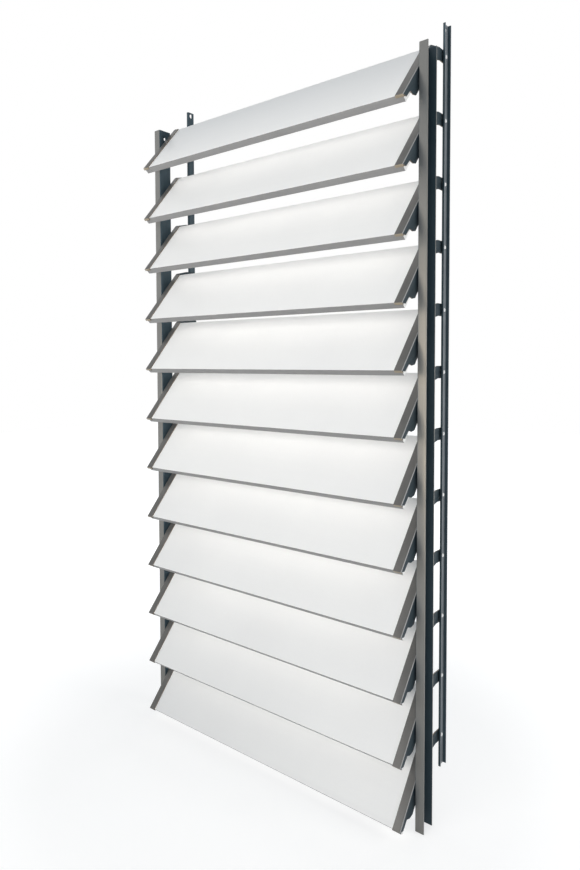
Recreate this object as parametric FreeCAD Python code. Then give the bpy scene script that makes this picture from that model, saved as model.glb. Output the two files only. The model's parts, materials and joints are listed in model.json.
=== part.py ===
# Adjustable louvre screen: level slats in pressed end clips, two channel stiles, two link bars.
# Frame: millimetres, +Z up, -Y is the face side, X along the slats.
# Origin: under the middle of the screen's depth and width, level with the stiles' lower ends.
import FreeCAD
import Part
import math
import os

Vector = FreeCAD.Vector

# Slats
SLAT_COUNT = 12
SLAT_PITCH = 120.0
SLAT_LENGTH = 700.0
SLAT_WIDTH = 150.0
SLAT_THICKNESS = 15.0
REST_TILT = 40.0

# End clips, measured along the slat from its lower edge and behind the slat's face
CLIP_SHEET = 2.0
CLIP_FLANGE = 17.0
CLIP_FOLD = 1.2
CLIP_END_PLAY = 0.5
TOE_LIP = 4.0
TOE_RISE = 5.0
TOE_DEPTH = 8.5
NECK_LENGTH = 24.0
NECK_DEPTH = 10.0
STEP_RISE = 4.0
STEP_DEPTH = 20.0
SHOULDER_RISE = 12.5
SHOULDER_DEPTH = 27.0
PIVOT_LOBE = 11.0
LOBE_FOOT = 15.0
LOBE_FLAT = 11.0
CREST = 6.0
TAB_RISE = 20.0
TAB_LENGTH = 35.0
TAB_WIDTH = 12.0
LUG_INSET = 5.0
LUG_HALF_HEIGHT = 12.0
LUG_REACH = 20.5
LUG_ANGLE = 50.0
LUG_TIP = 9.5
LUG_CORNER = 5.0

# Pivots and link pins
PIVOT_STANDOFF = 10.5
PIVOT_RADIUS = 5.0
PIVOT_NECK = 6.0
PIN_REACH_INSIDE = 1.5
LINK_ARM_ALONG = 113.0
LINK_ARM_BEHIND = 19.0
LINK_RADIUS = 3.6
LINK_PROUD = 1.6
PIN_HOLE_SIDES = 6
RUNNING_CLEARANCE = 0.05

# Stiles
STILE_SHEET = 2.0
STILE_DEPTH = 35.0
STILE_FLANGE = 18.5
STILE_BEND = 3.0
STILE_END = 65.0
STILE_SIDE_GAP = 1.0
FIXING_INSET = 19.0
FIXING_RADIUS = 3.25
SINK_RADIUS = 7.0
SINK_DEPTH = 1.4

# Link bars
BAR_SHEET = 2.0
BAR_WIDTH = 20.0
BAR_FRONT_LIP = 5.5
BAR_REAR_LIP = 8.0
BAR_BEND = 2.5
BAR_END = 60.0
BAR_SIDE_GAP = 0.8
DRIVE_HOLE_RADIUS = 5.0
DRIVE_HOLE_INSET = 8.5

# Pivot and link pin, in the slat's own section: along from the lower edge, behind the face
PIVOT_ALONG = SLAT_WIDTH / 2.0
PIVOT_BEHIND = SLAT_THICKNESS + PIVOT_STANDOFF
LINK_ALONG = PIVOT_ALONG + LINK_ARM_ALONG
LINK_BEHIND = PIVOT_BEHIND + LINK_ARM_BEHIND
TILT = math.radians(REST_TILT)

# Planes across the screen, from its middle outwards on the right
CLIP_INNER_X = SLAT_LENGTH / 2.0 + CLIP_END_PLAY
CLIP_OUTER_X = CLIP_INNER_X + CLIP_SHEET
STILE_INNER_X = CLIP_OUTER_X + STILE_SIDE_GAP
STILE_WEB_X = STILE_INNER_X + STILE_SHEET
STILE_OUTER_X = STILE_INNER_X + STILE_FLANGE
BAR_INNER_X = CLIP_OUTER_X + BAR_SIDE_GAP
BAR_WEB_X = BAR_INNER_X + BAR_SHEET

# Link pin from pivot at the rest tilt
LINK_BACK = LINK_ARM_ALONG * math.sin(TILT) + LINK_ARM_BEHIND * math.cos(TILT)
LINK_UP = LINK_ARM_ALONG * math.cos(TILT) - LINK_ARM_BEHIND * math.sin(TILT)

# The screen's depth is centred on the origin
TOE_ALONG = -CLIP_SHEET
FRONT_REACH = (PIVOT_ALONG - TOE_ALONG) * math.sin(TILT) + (PIVOT_BEHIND + CLIP_SHEET) * math.cos(TILT)
REAR_REACH = LINK_BACK + BAR_WIDTH / 2.0
PIVOT_Y = (FRONT_REACH - REAR_REACH) / 2.0
STILE_LENGTH = (SLAT_COUNT - 1) * SLAT_PITCH + 2.0 * STILE_END
BAR_LENGTH = (SLAT_COUNT - 1) * SLAT_PITCH + 2.0 * BAR_END
BAR_Y = PIVOT_Y + LINK_BACK
BAR_BOTTOM_Z = STILE_END + LINK_UP - BAR_END


def pivot_heights():
    """Heights of the slats' pivots, the top slat first."""
    return [STILE_END + (SLAT_COUNT - 1 - row) * SLAT_PITCH for row in range(SLAT_COUNT)]


def box(x_span, y_span, z_span):
    """A block between two corners."""
    corner = Vector(x_span[0], y_span[0], z_span[0])
    sides = [span[1] - span[0] for span in (x_span, y_span, z_span)]
    return Part.makeBox(sides[0], sides[1], sides[2], corner)


def rod(radius, x_span, y=0.0, z=0.0):
    """A round bar along X."""
    return Part.makeCylinder(radius, x_span[1] - x_span[0], Vector(x_span[0], y, z), Vector(1, 0, 0))


def flat_sided_bar(sides, across, x_span, y=0.0, z=0.0):
    """A bar along X with a regular section, by its width across flats."""
    radius = across / 2.0 / math.cos(math.pi / sides)
    corners = []
    for corner in range(sides + 1):
        turn = math.pi * (2 * corner + 1) / sides
        corners.append(Vector(x_span[0], y + radius * math.cos(turn), z + radius * math.sin(turn)))
    face = Part.Face(Part.makePolygon(corners))
    return face.extrude(Vector(x_span[1] - x_span[0], 0, 0))


def pin_hole(radius, x_span, y=0.0, z=0.0):
    """A flat-sided hole that just clears a round pin."""
    return flat_sided_bar(PIN_HOLE_SIDES, 2.0 * radius, x_span, y, z)


def section_point(along, behind, x=0.0):
    """A point of the slat's section, with the pivot at the origin and the slat upright."""
    return Vector(x, behind - PIVOT_BEHIND, along - PIVOT_ALONG)


def section_prism(outline, x_span):
    """An outline of (along, behind) pairs, drawn out along X."""
    points = [section_point(along, behind, x_span[0]) for along, behind in outline]
    face = Part.Face(Part.makePolygon(points + points[:1]))
    return face.extrude(Vector(x_span[1] - x_span[0], 0, 0))


def at_rest(shape, height):
    """A slat or clip, tilted about its pivot and set at its height."""
    placed = shape.copy()
    placed.rotate(Vector(0, 0, 0), Vector(1, 0, 0), -REST_TILT)
    placed.translate(Vector(0, PIVOT_Y, height))
    return placed


def mirrored(shape):
    """The left-hand twin of a right-hand piece."""
    return shape.mirror(Vector(0, 0, 0), Vector(1, 0, 0))


def make_slat():
    """One solid slat."""
    outline = [(0, 0), (SLAT_WIDTH, 0), (SLAT_WIDTH, SLAT_THICKNESS), (0, SLAT_THICKNESS)]
    return section_prism(outline, (-SLAT_LENGTH / 2.0, SLAT_LENGTH / 2.0))


def lug_outline():
    """The link lug: out from the slat's upper end, bent towards the bar, corners cut off past the pin."""
    pin = Vector(LINK_ALONG, LINK_BEHIND, 0)
    root = Vector(SLAT_WIDTH - LUG_INSET, SLAT_THICKNESS / 2.0, 0)
    turn = math.radians(LUG_ANGLE)
    end = Vector(math.cos(turn), math.sin(turn), 0)
    bend = pin - end * LUG_REACH
    start = (bend - root).normalize()
    end_down = Vector(-end.y, end.x, 0)
    start_down = Vector(-start.y, start.x, 0)
    mitre = (start_down + end_down).normalize()
    mitre = mitre * (LUG_HALF_HEIGHT / mitre.dot(end_down))
    side = end_down * LUG_HALF_HEIGHT
    tip = pin + end * LUG_TIP
    cut_back = end * LUG_CORNER
    cut_in = end_down * LUG_CORNER
    corners = [
        root + start_down * LUG_HALF_HEIGHT,
        bend + mitre,
        tip + side - cut_back,
        tip + side - cut_in,
        tip - side + cut_in,
        tip - side - cut_back,
        bend - mitre,
    ]
    return [(corner.x, corner.y) for corner in corners]


def clip_plate_outline():
    """The clip's end plate: toe, notch for the slat below, pivot lobe and link lug."""
    outline = [
        (TOE_ALONG, -CLIP_SHEET),
        (TOE_RISE, TOE_DEPTH),
        (NECK_LENGTH, NECK_DEPTH),
        (NECK_LENGTH + STEP_RISE, STEP_DEPTH),
        (NECK_LENGTH + SHOULDER_RISE, SHOULDER_DEPTH),
        (PIVOT_ALONG - LOBE_FOOT, SHOULDER_DEPTH),
        (PIVOT_ALONG - LOBE_FLAT / 2.0, PIVOT_BEHIND + PIVOT_LOBE),
        (PIVOT_ALONG + LOBE_FLAT / 2.0, PIVOT_BEHIND + PIVOT_LOBE),
    ]
    return outline + lug_outline() + [(SLAT_WIDTH + CREST, 0), (SLAT_WIDTH, -CLIP_SHEET)]


def make_right_clip():
    """One pressed clip: end plate with two holes, flange on the slat's face, lip below it, tab behind it."""
    plate = section_prism(clip_plate_outline(), (CLIP_INNER_X, CLIP_OUTER_X))
    flange_outline = [
        (TOE_ALONG, -CLIP_SHEET),
        (SLAT_WIDTH, -CLIP_SHEET),
        (SLAT_WIDTH, 0),
        (0, 0),
        (0, TOE_LIP),
        (TOE_ALONG, TOE_LIP),
    ]
    flange = section_prism(flange_outline, (CLIP_OUTER_X - CLIP_FLANGE, CLIP_OUTER_X))
    tab_foot = PIVOT_ALONG + TAB_RISE
    tab_back = SLAT_THICKNESS + CLIP_SHEET
    tab_outline = [
        (tab_foot, SLAT_THICKNESS),
        (tab_foot + TAB_LENGTH, SLAT_THICKNESS),
        (tab_foot + TAB_LENGTH, tab_back),
        (tab_foot, tab_back),
    ]
    tab = section_prism(tab_outline, (CLIP_OUTER_X - TAB_WIDTH, CLIP_INNER_X))
    clip = plate.fuse([flange, tab]).removeSplitter()
    fold = []
    front = section_point(0, -CLIP_SHEET).y
    for edge in clip.Edges:
        middle = edge.CenterOfMass
        if abs(middle.x - CLIP_OUTER_X) < 1e-6 and abs(middle.y - front) < 1e-6:
            fold.append(edge)
    clip = clip.makeChamfer(CLIP_FOLD, fold)
    through = (CLIP_INNER_X - CLIP_SHEET, CLIP_OUTER_X + CLIP_SHEET)
    pivot_hole = pin_hole(PIVOT_RADIUS + RUNNING_CLEARANCE, through)
    link = section_point(LINK_ALONG, LINK_BEHIND)
    link_hole = pin_hole(LINK_RADIUS + RUNNING_CLEARANCE, through, link.y, link.z)
    return clip.cut([pivot_hole, link_hole])


def make_pivot_pin():
    """One pivot at the origin: round bearing in the clip, square neck in the stile."""
    bearing = rod(PIVOT_RADIUS, (CLIP_INNER_X - PIN_REACH_INSIDE, STILE_INNER_X))
    neck = flat_sided_bar(4, PIVOT_NECK, (STILE_INNER_X, STILE_WEB_X))
    return bearing.fuse(neck)


def make_link_pin():
    """One link pin at the origin: a plain pin through the clip's lug and the bar's web."""
    return rod(LINK_RADIUS, (CLIP_INNER_X - PIN_REACH_INSIDE, BAR_WEB_X + LINK_PROUD))


def channel(x_web, sheet, depth, lips, bend, z_span):
    """A folded channel along Z: web at x_web, front and rear lips outwards, bends eased outside."""
    height = max(lips)
    outer = box((x_web, x_web + height), (-depth / 2.0, depth / 2.0), z_span)
    inside = depth / 2.0 - sheet
    cuts = [box((x_web + sheet, x_web + height), (-inside, inside), z_span)]
    for lip, y_span in zip(lips, ((-depth / 2.0, -inside), (inside, depth / 2.0))):
        if lip < height:
            cuts.append(box((x_web + lip, x_web + height), y_span, z_span))
    bends = []
    for edge in outer.Edges:
        middle = edge.CenterOfMass
        if abs(middle.x - x_web) < 1e-6 and abs(middle.z - sum(z_span) / 2.0) < 1e-6:
            bends.append(edge)
    return outer.makeFillet(bend, bends).cut(cuts)


def make_right_stile():
    """The right stile: channel, square pivot holes and two sunk fixing holes."""
    lips = (STILE_FLANGE, STILE_FLANGE)
    stile = channel(STILE_INNER_X, STILE_SHEET, STILE_DEPTH, lips, STILE_BEND, (0, STILE_LENGTH))
    cuts = []
    for z in (FIXING_INSET, STILE_LENGTH - FIXING_INSET):
        face = Vector(STILE_INNER_X, 0, z)
        cuts.append(Part.makeCone(SINK_RADIUS, FIXING_RADIUS, SINK_DEPTH, face, Vector(1, 0, 0)))
        cuts.append(rod(FIXING_RADIUS, (STILE_INNER_X, STILE_WEB_X), 0, z))
    for z in pivot_heights():
        cuts.append(flat_sided_bar(4, PIVOT_NECK, (STILE_INNER_X, STILE_WEB_X), 0, z))
    stile = stile.cut(cuts)
    stile.translate(Vector(0, PIVOT_Y, 0))
    return stile


def make_right_link_bar():
    """The right link bar: channel with the deeper lip behind, pin holes and the drive hole at its top end."""
    top = BAR_BOTTOM_Z + BAR_LENGTH
    lips = (BAR_FRONT_LIP, BAR_REAR_LIP)
    bar = channel(BAR_INNER_X, BAR_SHEET, BAR_WIDTH, lips, BAR_BEND, (BAR_BOTTOM_Z, top))
    cuts = [rod(DRIVE_HOLE_RADIUS, (BAR_INNER_X, BAR_WEB_X), 0, top - DRIVE_HOLE_INSET)]
    for z in pivot_heights():
        cuts.append(pin_hole(LINK_RADIUS, (BAR_INNER_X, BAR_WEB_X), 0, z + LINK_UP))
    bar = bar.cut(cuts)
    bar.translate(Vector(0, BAR_Y, 0))
    return bar


def column(piece, y, rise):
    """One copy of a small piece at every slat, as a group of separate solids."""
    copies = []
    for z in pivot_heights():
        placed = piece.copy()
        placed.translate(Vector(0, y, z + rise))
        copies.append(placed)
    return Part.makeCompound(copies)


def build():
    """Every node of the screen by name."""
    nodes = {}
    right_hand = {
        "stile": make_right_stile(),
        "link_bar": make_right_link_bar(),
        "pivot_pins": column(make_pivot_pin(), PIVOT_Y, 0.0),
        "link_pins": column(make_link_pin(), BAR_Y, LINK_UP),
    }
    for name, shape in right_hand.items():
        nodes["right_" + name] = shape
        nodes["left_" + name] = mirrored(shape)
    slat = make_slat()
    right_clip = make_right_clip()
    left_clip = mirrored(right_clip)
    for row, height in enumerate(pivot_heights()):
        prefix = "slat_%02d" % (row + 1)
        nodes[prefix] = at_rest(slat, height)
        nodes[prefix + "_right_clip"] = at_rest(right_clip, height)
        nodes[prefix + "_left_clip"] = at_rest(left_clip, height)
    return nodes


os.makedirs("parts", exist_ok=True)
for node, solid in build().items():
    solid.exportStep("parts/%s.step" % node)
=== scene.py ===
import json
import math
from collections import namedtuple

import bmesh
import bpy
from mathutils import Matrix, Vector

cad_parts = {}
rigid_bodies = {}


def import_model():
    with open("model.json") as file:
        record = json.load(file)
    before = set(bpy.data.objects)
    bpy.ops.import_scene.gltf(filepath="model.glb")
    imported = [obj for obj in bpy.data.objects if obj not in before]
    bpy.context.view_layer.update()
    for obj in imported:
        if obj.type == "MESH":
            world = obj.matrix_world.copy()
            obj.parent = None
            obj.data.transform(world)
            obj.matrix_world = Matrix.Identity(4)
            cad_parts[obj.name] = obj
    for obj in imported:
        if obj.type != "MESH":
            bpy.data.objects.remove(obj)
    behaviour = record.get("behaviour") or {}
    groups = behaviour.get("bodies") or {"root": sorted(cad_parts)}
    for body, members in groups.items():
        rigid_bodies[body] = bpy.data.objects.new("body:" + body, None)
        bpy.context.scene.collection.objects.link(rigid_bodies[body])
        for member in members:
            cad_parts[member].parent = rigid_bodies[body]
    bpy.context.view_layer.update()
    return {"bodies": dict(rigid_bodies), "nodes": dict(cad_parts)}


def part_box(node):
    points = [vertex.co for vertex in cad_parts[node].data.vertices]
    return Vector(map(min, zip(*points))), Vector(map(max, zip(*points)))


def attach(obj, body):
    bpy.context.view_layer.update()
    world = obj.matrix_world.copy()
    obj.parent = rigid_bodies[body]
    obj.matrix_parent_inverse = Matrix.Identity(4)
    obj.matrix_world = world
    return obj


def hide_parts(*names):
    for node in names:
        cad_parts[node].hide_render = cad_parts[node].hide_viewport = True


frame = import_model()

# Slats, clips, channels and pins: sizes in metres, angles in degrees
SIDES = ("left", "right")
BLADES = sorted(name for name in frame["bodies"] if name.startswith("blade_"))
SLAT_WIDTH = 0.150
SLAT_THICKNESS = 0.015
SLAT_ARRIS = 0.0012
ARRIS_STEPS = 3
REST_TILT = 40.0
SHEET = 0.002
CLIP_EASE = 0.00035
CHANNEL_EASE = 0.0003
EASE_STEPS = 2
EASE_ANGLE = 30.0
PIN_CHAMFER = 0.0006
PIN_SIDES = 32
SMOOTH_ANGLE = 35.0
FLAT_ANGLE = 0.5
MERGE_DISTANCE = 1e-6
QUARTER_TURN = math.pi / 2

# Ways that a slat's face and its lower edge look at rest
TILT = math.radians(REST_TILT)
FACE_WAY = Vector((0.0, -math.cos(TILT), math.sin(TILT)))
TOE_WAY = Vector((0.0, -math.sin(TILT), -math.cos(TILT)))

# Face tests: how squarely a face looks a given way, from 0 to 1, and sizes in metres
FACING = 0.5
SQUARE_ON = 0.98
FOLD_SLOPE = (0.6, 0.8)
BENT_SLOPE = (0.5, 0.85)
CUT_EDGE_WIDTH = 1.05 * SHEET
FOLD_AREA = SLAT_WIDTH * SHEET / 2
RIM_DEPTH = SHEET / 4
STILE_LOW, STILE_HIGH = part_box("right_stile")

# Camera, fitted to the photograph: place and turn in the screen's own frame
CAMERA_PLACE = (0.9348, -1.1173, 0.8802)
CAMERA_YAW = 38.971
CAMERA_PITCH = 2.400
CAMERA_ROLL = -0.161
LOOKING_LEVEL = 90.0
IMAGE_HEIGHT = 870.0
FOCAL_PIXELS = 664.17
CENTRE_ABOVE_MIDDLE = 45.47
SENSOR = 36.0

# Light: places and sizes in metres, power in watts
SKY_LEVEL = 0.2
SKY_TONE = (0.56, 0.79, 1.0)
WARM_TONE = (1.0, 0.96, 0.91)
SOFT_TONE = (1.0, 0.97, 0.93)
ABOVE_SCREEN = (0.0, 0.0, 2.4)
SCREEN_MIDDLE = (0.0, 0.0, 0.75)
Lamp = namedtuple("Lamp", "place aim size power tone")
LAMPS = {
    "key": Lamp((-0.25, -2.2, 1.15), ABOVE_SCREEN, 1.6, 43.0, WARM_TONE),
    "fill": Lamp((1.25, -2.1, 0.95), ABOVE_SCREEN, 1.2, 17.0, SOFT_TONE),
    "back": Lamp((0.0, 2.6, 1.0), SCREEN_MIDDLE, 1.6, 20.0, SOFT_TONE),
    "right": Lamp((2.35, 0.55, 0.9), SCREEN_MIDDLE, 1.2, 28.0, SOFT_TONE),
    "left": Lamp((-2.4, 0.3, 0.9), SCREEN_MIDDLE, 1.2, 9.0, SOFT_TONE),
}

# Floor: its glow near the screen, and the distances between which that grows to white
FLOOR_SIZE = 14.0
FLOOR_GREY = 0.4
FLOOR_ROUGHNESS = 0.9
FLOOR_LIFT = 0.68
FADE_SPAN = (0.5, 1.4)

# Paint: detail and breakup of its noises, the spans of them that count, shares of tone, relief in metres
GRAIN_DETAIL = 3.0
GRAIN_SPAN = (0.35, 0.65)
GRAIN_SHARE = 0.3
CLOUD_DETAIL = 2.0
CLOUD_SPAN = (0.3, 0.7)
CLOUD_SHARE = 0.7
STREAK_DETAIL = 4.0
STREAK_BREAKUP = 0.6
PLAIN_BREAKUP = 0.5
STREAK_SPAN = (0.45, 0.7)
UNIT_SPAN = (0.0, 1.0)
PAINT_RELIEF = 0.0003
PLAIN_SHINE = 0.5
WIPE_SCALE = 3.0
WIPE_DULLING = 0.05
WIPE_HEIGHT = 0.6
WIPE_BUMP = 0.05
STEEL_RELIEF = 0.0002
STEEL_BUMP = 0.15
WHITE = (1.0, 1.0, 1.0)


# Node building


class Graph:
    """Nodes and links of one node tree, added by short calls."""

    def __init__(self, tree):
        self.tree = tree

    def add(self, kind, sockets=None, **settings):
        """A node with its settings made and its inputs set or linked."""
        node = self.tree.nodes.new(kind)
        for name, value in settings.items():
            setattr(node, name, value)
        return self.feed(node, sockets or {})

    def feed(self, node, sockets):
        """Sets or links inputs of a node, each given by its name or number."""
        for name, value in sockets.items():
            if isinstance(value, bpy.types.NodeSocket):
                self.tree.links.new(value, node.inputs[name])
            else:
                node.inputs[name].default_value = value
        return node

    def math(self, operation, first, second):
        return self.add("ShaderNodeMath", {0: first, 1: second}, operation=operation).outputs[0]

    def noise(self, vector, scale, detail, breakup=PLAIN_BREAKUP):
        sockets = {"Vector": vector, "Scale": scale, "Detail": detail, "Roughness": breakup}
        return self.add("ShaderNodeTexNoise", sockets).outputs["Fac"]

    def stretch(self, value, span, reach):
        """A value carried over from one span to another, and held at its ends."""
        node = self.add("ShaderNodeMapRange", {
            "Value": value, "From Min": span[0], "From Max": span[1], "To Min": reach[0], "To Max": reach[1]})
        return node.outputs["Result"]

    def mix(self, factor, first, second):
        """A colour between two others."""
        return self.add("ShaderNodeMix", {0: factor, 6: first, 7: second}, data_type="RGBA").outputs[2]

    def bump(self, height, strength, relief):
        sockets = {"Height": height, "Strength": strength, "Distance": relief}
        return self.add("ShaderNodeBump", sockets).outputs["Normal"]


class Group(Graph):
    """A node group with named inputs and outputs."""

    def __init__(self, name, kind, inputs, outputs):
        super().__init__(bpy.data.node_groups.new(name, kind))
        self.keys = self.name_sockets("INPUT", inputs)
        self.name_sockets("OUTPUT", outputs)
        self.given = self.add("NodeGroupInput").outputs
        self.result = self.add("NodeGroupOutput")

    def name_sockets(self, way, sockets):
        """Makes the sockets that go in or out; returns their identifiers by name."""
        keys = {}
        for label, kind in sockets.items():
            socket = self.tree.interface.new_socket(label, in_out=way, socket_type="NodeSocket" + kind)
            keys[label] = socket.identifier
        return keys


# Paints and metals


def make_coat():
    """Sprayed paint: fine grain, slow clouds of tone and a little drift of gloss."""
    group = Group(
        "sprayed_coat", "ShaderNodeTree",
        inputs={
            "Vector": "Vector", "Light Tone": "Color", "Dark Tone": "Color", "Grain Scale": "Float",
            "Drift Scale": "Float", "Smooth": "Float", "Rough": "Float"},
        outputs={"Color": "Color", "Roughness": "Float", "Height": "Float"})
    given = group.given
    grain = group.noise(given["Vector"], given["Grain Scale"], GRAIN_DETAIL)
    drift = group.noise(given["Vector"], given["Drift Scale"], CLOUD_DETAIL)
    speck = group.stretch(grain, GRAIN_SPAN, UNIT_SPAN)
    cloud = group.stretch(drift, CLOUD_SPAN, UNIT_SPAN)
    clouds = group.math("MULTIPLY", cloud, CLOUD_SHARE)
    tone = group.math("ADD", clouds, group.math("MULTIPLY", speck, GRAIN_SHARE))
    group.feed(group.result, {
        "Color": group.mix(tone, given["Dark Tone"], given["Light Tone"]),
        "Roughness": group.stretch(cloud, UNIT_SPAN, (given["Smooth"], given["Rough"])),
        "Height": grain})
    return group.tree


def make_streaks():
    """Fine scratches along one way of the surface, from turning, rolling or wiping."""
    group = Group(
        "drawn_streaks", "ShaderNodeTree",
        inputs={"Vector": "Vector", "Stretch": "Vector", "Scale": "Float"},
        outputs={"Mask": "Float", "Height": "Float"})
    given = group.given
    drawn = group.add("ShaderNodeMapping", {"Vector": given["Vector"], "Scale": given["Stretch"]})
    lines = group.noise(drawn.outputs["Vector"], given["Scale"], STREAK_DETAIL, STREAK_BREAKUP)
    group.feed(group.result, {"Mask": group.stretch(lines, STREAK_SPAN, UNIT_SPAN), "Height": lines})
    return group.tree


COAT = make_coat()
STREAKS = make_streaks()

# A spray's two tones, the scales of its grain and drift, and its span of roughness
Spray = namedtuple("Spray", "light dark grain drift smooth rough")


def new_material(name):
    """A material with one Principled shader; returns it with its graph, shader and coordinates."""
    material = bpy.data.materials.new(name)
    material.use_nodes = True
    graph = Graph(material.node_tree)
    shader = material.node_tree.nodes["Principled BSDF"]
    place = graph.add("ShaderNodeTexCoord").outputs["Object"]
    return material, graph, shader, place


def sprayed(graph, place, spray):
    """What the coat group puts out for one spray."""
    return graph.add("ShaderNodeGroup", {
        "Vector": place, "Light Tone": (*spray.light, 1.0), "Dark Tone": (*spray.dark, 1.0),
        "Grain Scale": spray.grain, "Drift Scale": spray.drift, "Smooth": spray.smooth, "Rough": spray.rough},
        node_tree=COAT).outputs


def streaked(graph, place, stretch, scale):
    """What the streak group puts out for streaks drawn out by stretch."""
    sockets = {"Vector": place, "Stretch": stretch, "Scale": scale}
    return graph.add("ShaderNodeGroup", sockets, node_tree=STREAKS).outputs


def coated(name, bump, spray, shine=PLAIN_SHINE):
    """A painted, moulded or bare surface from the sprayed coat group."""
    material, graph, shader, place = new_material(name)
    coat = sprayed(graph, place, spray)
    graph.feed(shader, {
        "Base Color": coat["Color"], "Roughness": coat["Roughness"],
        "Normal": graph.bump(coat["Height"], bump, PAINT_RELIEF), "Specular IOR Level": shine})
    return material


def wiped(name, stretch, marked, spray, shine=PLAIN_SHINE, gleam=WHITE):
    """Paint with faint streaks one way; marked is how far they darken it, gleam the tint of its shine."""
    material, graph, shader, place = new_material(name)
    coat = sprayed(graph, place, spray)
    wipe = streaked(graph, place, stretch, WIPE_SCALE)
    darkened = graph.math("MULTIPLY", wipe["Mask"], marked)
    dulled = graph.math("MULTIPLY", wipe["Mask"], WIPE_DULLING)
    height = graph.math("ADD", coat["Height"], graph.math("MULTIPLY", wipe["Height"], WIPE_HEIGHT))
    graph.feed(shader, {
        "Base Color": graph.mix(darkened, coat["Color"], (*spray.dark, 1.0)),
        "Roughness": graph.math("ADD", coat["Roughness"], dulled),
        "Normal": graph.bump(height, WIPE_BUMP, PAINT_RELIEF),
        "Specular IOR Level": shine, "Specular Tint": (*gleam, 1.0)})
    return material


def turned_metal(name, light, dark, stretch, scale, smooth, rough):
    """Bare metal with streaks one way."""
    material, graph, shader, place = new_material(name)
    streaks = streaked(graph, place, stretch, scale)
    graph.feed(shader, {
        "Base Color": graph.mix(streaks["Mask"], (*dark, 1.0), (*light, 1.0)),
        "Roughness": graph.stretch(streaks["Mask"], UNIT_SPAN, (smooth, rough)),
        "Normal": graph.bump(streaks["Height"], STEEL_BUMP, STEEL_RELIEF),
        "Metallic": 1.0})
    return material


LACQUER = wiped("slat_lacquer", stretch=(1.0, 40.0, 40.0), marked=0.2, spray=Spray(
    light=(0.93, 0.93, 0.925), dark=(0.885, 0.885, 0.885),
    grain=420.0, drift=5.0, smooth=0.34, rough=0.44))
SLAT_EDGE = coated("slat_edge", bump=0.1, spray=Spray(
    light=(0.265, 0.266, 0.268), dark=(0.23, 0.231, 0.233),
    grain=600.0, drift=8.0, smooth=0.4, rough=0.52))
STILE_PAINT = wiped(
    "stile_paint", stretch=(150.0, 150.0, 1.5), marked=0.5, shine=1.0, gleam=(1.0, 0.86, 0.66), spray=Spray(
        light=(0.15, 0.161, 0.17), dark=(0.115, 0.125, 0.132),
        grain=700.0, drift=9.0, smooth=0.34, rough=0.42))
BAR_PAINT = coated("bar_paint", bump=0.12, spray=Spray(
    light=(0.19, 0.214, 0.236), dark=(0.152, 0.172, 0.19),
    grain=700.0, drift=12.0, smooth=0.36, rough=0.48))
# Painted shade: dark navy that stands in for the shade on the stiles' sides and channel insides and on the
# bars' forward faces and inner webs.
PAINTED_SHADE_NAVY = coated("painted_shade_navy", bump=0.12, shine=0.25, spray=Spray(
    light=(0.045, 0.072, 0.09), dark=(0.033, 0.055, 0.07),
    grain=700.0, drift=12.0, smooth=0.42, rough=0.55))
CLIP_PAINT = coated("clip_paint", bump=0.12, spray=Spray(
    light=(0.117, 0.114, 0.109), dark=(0.088, 0.087, 0.084),
    grain=900.0, drift=30.0, smooth=0.36, rough=0.5))
# Painted shade: a dark navy copy of the clip paint, standing in for the shade on the clips' plates, lugs and
# tabs.
CLIP_PAINTED_SHADE = coated("clip_painted_shade", bump=0.12, shine=0.25, spray=Spray(
    light=(0.026, 0.042, 0.053), dark=(0.019, 0.032, 0.041),
    grain=900.0, drift=30.0, smooth=0.42, rough=0.55))
SHEARED_EDGE = coated("sheared_edge", bump=0.2, spray=Spray(
    light=(0.28, 0.22, 0.16), dark=(0.17, 0.135, 0.1),
    grain=1400.0, drift=55.0, smooth=0.42, rough=0.6))
TOE_METAL = coated("toe_metal", bump=0.15, spray=Spray(
    light=(0.34, 0.288, 0.212), dark=(0.26, 0.22, 0.162),
    grain=1400.0, drift=55.0, smooth=0.36, rough=0.5))
# Painted highlight: lighter grey standing in for the light caught along each clip's fold.
FOLD_PAINTED_HIGHLIGHT = coated("fold_painted_highlight", bump=0.1, spray=Spray(
    light=(0.36, 0.362, 0.362), dark=(0.28, 0.282, 0.285),
    grain=1200.0, drift=40.0, smooth=0.3, rough=0.42))
NYLON = coated("pin_nylon", bump=0.08, spray=Spray(
    light=(0.95, 0.95, 0.945), dark=(0.9, 0.9, 0.895),
    grain=1500.0, drift=60.0, smooth=0.4, rough=0.5))
PIVOT_STEEL = turned_metal(
    "pivot_steel", light=(0.62, 0.62, 0.63), dark=(0.46, 0.46, 0.47), stretch=(60.0, 1.0, 1.0), scale=40.0,
    smooth=0.28, rough=0.42)


# Piece building


def link_object(name, data):
    """A new object in the scene, at the origin."""
    piece = bpy.data.objects.new(name, data)
    bpy.context.scene.collection.objects.link(piece)
    return piece


def baked(piece):
    """The piece's mesh with its modifiers worked in, and the modifiers taken off."""
    depsgraph = bpy.context.evaluated_depsgraph_get()
    mesh = bpy.data.meshes.new_from_object(piece.evaluated_get(depsgraph))
    piece.modifiers.clear()
    piece.data = mesh
    return piece


def smooth_rounds(piece):
    """Smooth shading over round stretches, with the square corners kept sharp."""
    for polygon in piece.data.polygons:
        polygon.use_smooth = True
    piece.data.set_sharp_from_angle(angle=math.radians(SMOOTH_ANGLE))


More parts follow.
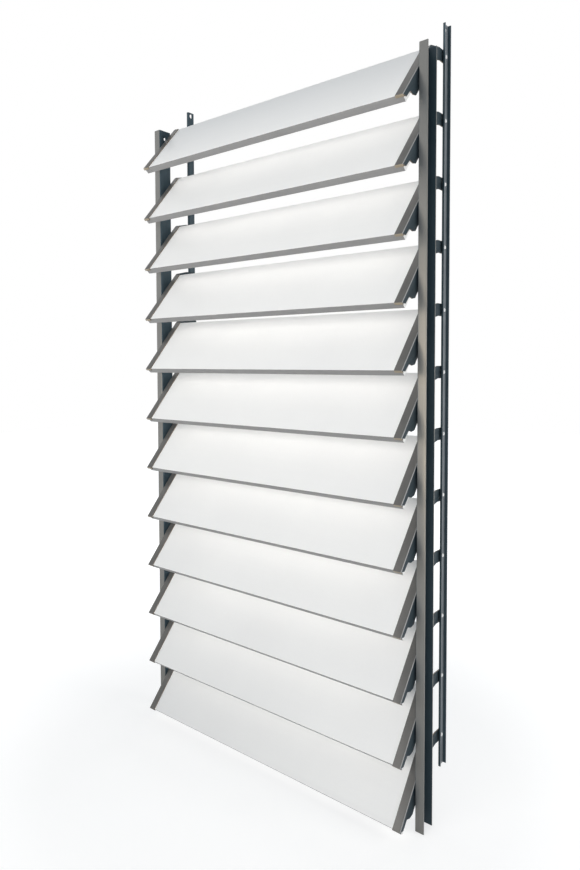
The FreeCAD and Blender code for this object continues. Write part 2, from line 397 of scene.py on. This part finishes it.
class ShapeTree(Group):
    """A geometry tree with named inputs, which makes plain mesh pieces."""

    def __init__(self, name, inputs):
        super().__init__(name, "GeometryNodeTree", inputs, {"Geometry": "Geometry"})

    def drawn_out(self, mesh, length, chosen=True):
        """A mesh with its faces, or those chosen, drawn out along their normals."""
        sockets = {"Mesh": mesh, "Selection": chosen, "Offset Scale": length, "Individual": False}
        return self.add("GeometryNodeExtrudeMesh", sockets, mode="FACES")

    def closed(self, face, side):
        """A drawn-out face with its own start face turned round to shut the back."""
        back = self.add("GeometryNodeFlipFaces", {"Mesh": face})
        joined = self.add("GeometryNodeJoinGeometry", {"Geometry": back.outputs["Mesh"]})
        self.feed(joined, {"Geometry": side})
        merged = self.add("GeometryNodeMergeByDistance", {
            "Geometry": joined.outputs["Geometry"], "Distance": MERGE_DISTANCE})
        return merged.outputs["Geometry"]

    def moved(self, geometry, **moves):
        """Geometry moved by a Translation, turned by a Rotation, or both."""
        return self.add("GeometryNodeTransform", {"Geometry": geometry, **moves}).outputs["Geometry"]

    def vector(self, **parts):
        """A vector with the given X, Y or Z."""
        return self.add("ShaderNodeCombineXYZ", parts).outputs["Vector"]

    def finish(self, geometry):
        """Ends the tree in real geometry with its material."""
        real = self.add("GeometryNodeRealizeInstances", {"Geometry": geometry})
        painted = self.add("GeometryNodeSetMaterial", {
            "Geometry": real.outputs["Geometry"], "Material": self.given["Material"]})
        self.feed(self.result, {"Geometry": painted.outputs["Geometry"]})

    def make(self, name, values):
        """One plain mesh piece from the tree."""
        piece = link_object(name, bpy.data.meshes.new(name))
        modifier = piece.modifiers.new("shape", "NODES")
        modifier.node_group = self.tree
        for label, value in values.items():
            modifier[self.keys[label]] = value
        return baked(piece)


# Slats


def slat_tree():
    """A board: rounded rectangle drawn along X, tilted and set at its middle."""
    tree = ShapeTree("slat_board", {
        "Length": "Float", "Width": "Float", "Thickness": "Float", "Arris": "Float", "Tilt": "Float",
        "Middle": "Vector", "Material": "Material"})
    given = tree.given
    outline = tree.add("GeometryNodeCurvePrimitiveQuadrilateral", {
        "Width": given["Thickness"], "Height": given["Width"]})
    rounded = tree.add("GeometryNodeFilletCurve", {
        "Curve": outline.outputs["Curve"], "Radius": given["Arris"], "Count": ARRIS_STEPS}, mode="POLY")
    filled = tree.add("GeometryNodeFillCurve", {"Curve": rounded.outputs["Curve"]}, mode="NGONS")
    face = filled.outputs["Mesh"]
    board = tree.closed(face, tree.drawn_out(face, given["Length"]).outputs["Mesh"])
    centred = tree.moved(board, Translation=tree.vector(Z=tree.math("MULTIPLY", given["Length"], -0.5)))
    level = tree.moved(centred, Rotation=(QUARTER_TURN, 0.0, QUARTER_TURN))
    lean = tree.vector(X=tree.math("MULTIPLY", given["Tilt"], -1.0))
    tree.finish(tree.moved(level, Rotation=lean, Translation=given["Middle"]))
    return tree


def edge_band(board):
    """Grey on the two long narrow edges of a board and on most of their arrises."""
    board.data.materials.append(SLAT_EDGE)
    grey = len(board.data.materials) - 1
    for polygon in board.data.polygons:
        if abs(polygon.normal.dot(TOE_WAY)) > FACING:
            polygon.material_index = grey


def dress_slats():
    """Every slat as an eased, lacquered board with grey long edges."""
    tree = slat_tree()
    for blade in BLADES:
        number = blade.split("_")[1]
        low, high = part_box("slat_" + number)
        board = tree.make("slat_board_" + number, {
            "Length": high.x - low.x, "Width": SLAT_WIDTH, "Thickness": SLAT_THICKNESS, "Arris": SLAT_ARRIS,
            "Tilt": TILT, "Middle": tuple((low + high) / 2), "Material": LACQUER})
        smooth_rounds(board)
        edge_band(board)
        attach(board, blade)
        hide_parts("slat_" + number)


# Clips, stiles and link bars


def clip_painted_shade_face(face):
    """True for a clip's faces that don't look out over the slat: plate, lug and tab, which get painted shade.
    """
    return face.normal.dot(FACE_WAY) < FACING


def cut_edge(face):
    """True for a sheet's cut edge: a face no wider than the sheet is thick, and not a bent one."""
    longest = max(edge.calc_length() for edge in face.edges)
    bent = BENT_SLOPE[0] < abs(face.normal.x) < BENT_SLOPE[1]
    return face.calc_area() / longest < CUT_EDGE_WIDTH and not bent


def lip_underside(face):
    """True for the underside of a clip's lip and the edges that look the same way."""
    return face.normal.dot(TOE_WAY) > SQUARE_ON


def clip_fold_painted_highlight(face):
    """True for the slope along a clip's fold, which gets a painted highlight."""
    sloped = FOLD_SLOPE[0] < abs(face.normal.x) < FOLD_SLOPE[1] and face.normal.dot(FACE_WAY) > FACING
    return sloped and face.calc_area() > FOLD_AREA


def stile_painted_shade_face(face):
    """True for a stile's faces that look sideways or into its channel, without its rims: these get painted
    shade.
    """
    centre = face.calc_center_median()
    rim = abs(centre.x) > STILE_HIGH.x - RIM_DEPTH
    inside = face.normal.y * (centre.y - (STILE_LOW.y + STILE_HIGH.y) / 2) < 0
    return inside or (abs(face.normal.x) > FACING and not rim)


def bar_painted_shade_face(face):
    """True for a bar's faces that look forward and for the side of its web towards the slats: these get
    painted shade.
    """
    inner = abs(face.normal.x) > FACING and face.normal.x * face.calc_center_median().x < 0
    return inner or face.normal.y < -FACING


# Faces of a clip: painted shade on its plate, lug and tab, bare cut edges and lip underside, and a painted
# highlight on its fold.
CLIP_FINISHES_AND_PAINTED_LIGHT = (
    (clip_painted_shade_face, CLIP_PAINTED_SHADE), (cut_edge, SHEARED_EDGE), (lip_underside, TOE_METAL), (clip_fold_painted_highlight, FOLD_PAINTED_HIGHLIGHT))
# Painted shade in dark navy on the stiles' sideways and inward faces and on the bars' forward and inner
# faces.
STILE_PAINTED_SHADE = ((stile_painted_shade_face, PAINTED_SHADE_NAVY),)
BAR_PAINTED_SHADE = ((bar_painted_shade_face, PAINTED_SHADE_NAVY),)


def cleaned_copy(node):
    """A copy of a solid's mesh as one closed skin of flat faces, without its stored normals and map."""
    shape = bmesh.new()
    shape.from_mesh(frame["nodes"][node].data)
    for layers in (shape.loops.layers.float_vector, shape.loops.layers.uv):
        for layer in list(layers.values()):
            layers.remove(layer)
    bmesh.ops.remove_doubles(shape, verts=shape.verts, dist=MERGE_DISTANCE)
    bmesh.ops.dissolve_limit(
        shape, angle_limit=math.radians(FLAT_ANGLE), verts=shape.verts, edges=shape.edges)
    return shape


def eased_piece(node, name, body, ease, coat, finishes_and_painted_light):
    """A solid's twin with its sharp edges rounded over, riding on the same body in its place.

    The finishes and painted light are pairs of a test and the material of the faces that pass it, the last
    pass winning.
    """
    mesh = bpy.data.meshes.new(name)
    shape = cleaned_copy(node)
    for face in shape.faces:
        face.smooth = True
        face.material_index = 0
        for index, (passes, material) in enumerate(finishes_and_painted_light):
            if passes(face):
                face.material_index = index + 1
    shape.to_mesh(mesh)
    shape.free()
    piece = link_object(name, mesh)
    for material in [coat] + [material for passes, material in finishes_and_painted_light]:
        mesh.materials.append(material)
    bevel = piece.modifiers.new("ease", "BEVEL")
    bevel.width = ease
    bevel.segments = EASE_STEPS
    bevel.limit_method = "ANGLE"
    bevel.angle_limit = math.radians(EASE_ANGLE)
    bevel.harden_normals = True
    baked(piece)
    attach(piece, body)
    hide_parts(node)
    return piece


def dress_clips():
    """Every clip with rounded folds, painted shade on its sides, a painted highlight on its fold, bare
    sheared edges and a bare lip.
    """
    for blade in BLADES:
        number = blade.split("_")[1]
        for side in SIDES:
            node = "slat_%s_%s_clip" % (number, side)
            name = "clip_%s_%s" % (number, side)
            clip = eased_piece(node, name, blade, CLIP_EASE, CLIP_PAINT, CLIP_FINISHES_AND_PAINTED_LIGHT)


def dress_channels():
    """Stiles and link bars with their edges rounded over, and painted shade in dark navy on their sides and
    insides and on the bars' forward faces.
    """
    for side in SIDES:
        stile = eased_piece(
            side + "_stile", "stile_" + side, "frame", CHANNEL_EASE, STILE_PAINT, STILE_PAINTED_SHADE)
        bar = eased_piece(
            side + "_link_bar", "link_bar_" + side, side + "_link", CHANNEL_EASE, BAR_PAINT, BAR_PAINTED_SHADE)


# Pins


def pin_tree():
    """A row of turned pins: each drawn along X with its outer rim chamfered."""
    tree = ShapeTree("pin_row", {
        "Count": "Int", "First": "Vector", "Step": "Vector", "Radius": "Float", "Length": "Float",
        "Chamfer": "Float", "Turn": "Float", "Material": "Material"})
    given = tree.given
    circle = tree.add("GeometryNodeMeshCircle", {
        "Vertices": PIN_SIDES, "Radius": given["Radius"]}, fill_type="NGON")
    disc = circle.outputs["Mesh"]
    shank = tree.drawn_out(disc, tree.math("SUBTRACT", given["Length"], given["Chamfer"]))
    rim = tree.drawn_out(shank.outputs["Mesh"], given["Chamfer"], shank.outputs["Top"])
    inner = tree.math("SUBTRACT", given["Radius"], given["Chamfer"])
    taper = tree.add("GeometryNodeScaleElements", {
        "Geometry": rim.outputs["Mesh"], "Selection": rim.outputs["Top"],
        "Scale": tree.math("DIVIDE", inner, given["Radius"])})
    pin = tree.closed(disc, taper.outputs["Geometry"])
    line = tree.add("GeometryNodeMeshLine", {
        "Count": given["Count"], "Start Location": given["First"], "Offset": given["Step"]}, mode="OFFSET")
    row = tree.add("GeometryNodeInstanceOnPoints", {
        "Points": line.outputs["Mesh"], "Instance": tree.moved(pin, Rotation=tree.vector(Y=given["Turn"]))})
    tree.finish(row.outputs["Instances"])
    return tree


def dress_link_pins():
    """White link pins, one row a side."""
    tree = pin_tree()
    count = len(BLADES)
    for side in SIDES:
        node = side + "_link_pins"
        low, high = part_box(node)
        radius = (high.y - low.y) / 2
        right = side == "right"
        first = (low.x if right else high.x, (low.y + high.y) / 2, high.z - radius)
        step = (high.z - low.z - 2 * radius) / (count - 1)
        pins = tree.make("link_pins_row_" + side, {
            "Count": count, "First": first, "Step": (0.0, 0.0, -step), "Radius": radius,
            "Length": high.x - low.x, "Chamfer": PIN_CHAMFER,
            "Turn": QUARTER_TURN if right else -QUARTER_TURN, "Material": NYLON})
        smooth_rounds(pins)
        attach(pins, side + "_link")
        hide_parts(node)


def dress_pivots():
    """Plain steel on the solids of the pivots."""
    for side in SIDES:
        pivots = frame["nodes"][side + "_pivot_pins"]
        pivots.data.materials.clear()
        pivots.data.materials.append(PIVOT_STEEL)


# Stage


def seen_directly(graph):
    """1 on rays that show a surface or the background as it is, 0 on rays that light others."""
    rays = graph.add("ShaderNodeLightPath").outputs
    mirrored = graph.math("MAXIMUM", rays["Is Glossy Ray"], rays["Is Transmission Ray"])
    return graph.math("MAXIMUM", rays["Is Camera Ray"], mirrored)


def floor_material():
    """Pale floor that keeps the soft shadow near the screen and shows white further off."""
    material, graph, shader, place = new_material("pale_floor")
    graph.feed(shader, {
        "Base Color": (FLOOR_GREY, FLOOR_GREY, FLOOR_GREY, 1.0), "Roughness": FLOOR_ROUGHNESS})
    away = graph.add("ShaderNodeVectorMath", {0: place}, operation="LENGTH")
    lift = graph.stretch(away.outputs["Value"], FADE_SPAN, (FLOOR_LIFT, 1.0))
    glow = graph.add("ShaderNodeEmission", {"Strength": graph.math("MULTIPLY", seen_directly(graph), lift)})
    both = graph.add("ShaderNodeAddShader", {0: shader.outputs[0], 1: glow.outputs[0]})
    graph.feed(graph.tree.nodes["Material Output"], {"Surface": both.outputs[0]})
    return material


def make_floor():
    """A square of floor round the screen."""
    mesh = bpy.data.meshes.new("floor")
    half = FLOOR_SIZE / 2
    corners = [(-half, -half, 0), (half, -half, 0), (half, half, 0), (-half, half, 0)]
    mesh.from_pydata(corners, [], [(0, 1, 2, 3)])
    floor = link_object("floor", mesh)
    mesh.materials.append(floor_material())


def make_sky():
    """Plain soft light all round, seen as white."""
    world = bpy.data.worlds.new("studio")
    bpy.context.scene.world = world
    world.use_nodes = True
    graph = Graph(world.node_tree)
    nodes = world.node_tree.nodes
    shown = graph.feed(nodes["Background"], {"Strength": 1.0, "Color": (*WHITE, 1.0)})
    lit = graph.add("ShaderNodeBackground", {"Strength": SKY_LEVEL, "Color": (*SKY_TONE, 1.0)})
    chosen = graph.add("ShaderNodeMixShader", {
        0: seen_directly(graph), 1: lit.outputs[0], 2: shown.outputs[0]})
    graph.feed(nodes["World Output"], {"Surface": chosen.outputs[0]})


def make_lamps():
    """Large soft lamps. Those in front are aimed above the screen, so the lowest slats get least light."""
    for name, lamp in LAMPS.items():
        light = bpy.data.lights.new(name, "AREA")
        light.shape = "SQUARE"
        light.size = lamp.size
        light.energy = lamp.power
        light.color = lamp.tone
        stand = link_object(name, light)
        stand.location = lamp.place
        aim = Vector(lamp.aim) - Vector(lamp.place)
        stand.rotation_euler = aim.to_track_quat("-Z", "Y").to_euler()


def make_camera():
    """A camera at the photograph's viewing angle, with the shift that its framing needs."""
    lens = bpy.data.cameras.new("camera")
    lens.sensor_width = SENSOR
    lens.lens = FOCAL_PIXELS * SENSOR / IMAGE_HEIGHT
    lens.shift_y = -CENTRE_ABOVE_MIDDLE / IMAGE_HEIGHT
    camera = link_object("camera", lens)
    turn = (
        Matrix.Rotation(math.radians(CAMERA_YAW), 4, "Z")
        @ Matrix.Rotation(math.radians(LOOKING_LEVEL - CAMERA_PITCH), 4, "X")
        @ Matrix.Rotation(math.radians(CAMERA_ROLL), 4, "Z"))
    camera.matrix_world = Matrix.Translation(CAMERA_PLACE) @ turn
    bpy.context.scene.camera = camera


dress_slats()
dress_clips()
dress_channels()
dress_link_pins()
dress_pivots()
make_floor()
make_sky()
make_lamps()
make_camera()
bpy.context.scene.view_settings.view_transform = "Standard"
